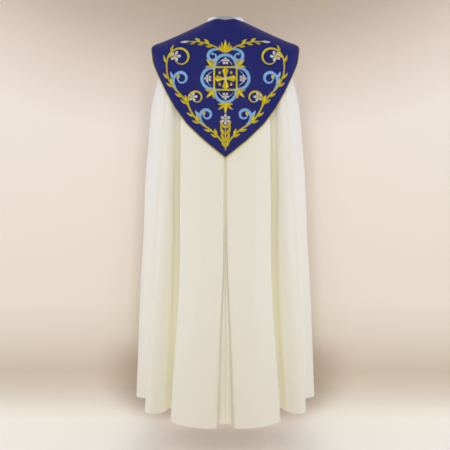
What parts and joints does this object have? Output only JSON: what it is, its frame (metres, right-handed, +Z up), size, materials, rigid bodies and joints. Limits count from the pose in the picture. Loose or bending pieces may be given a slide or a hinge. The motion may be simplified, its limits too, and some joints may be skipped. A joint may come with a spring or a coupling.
{
  "type": "cope vestment",
  "caption": "Full-length cloak, open at the front, with a stiff shield-shaped hood laid over the shoulders, a low neck band and a tab across the chest.",
  "frame": {"origin": "middle of the neck opening, level with the neckline, where the wearer's shoulders and neck carry the cloth", "axes": "+Z up; the wearer faces +Y, so the back of the cope with its hood faces -Y; +X is the wearer's right"},
  "size_m": [0.6652, 0.5248, 1.4246],
  "materials": {
    "ivory_cloth": "matt fine plain weave",
    "blue_satin": "stiffened, close weave with a low sheen",
    "gold_cord": "twisted metallic thread",
    "white_band": "smooth lining cloth"
  },
  "bodies": {
    "root": {"cope_left": "ivory_cloth", "cope_right": "ivory_cloth", "hood": "blue_satin", "hood_piping": "gold_cord", "morse": "blue_satin", "neck_band": "white_band"}
  },
  "joints": []
}
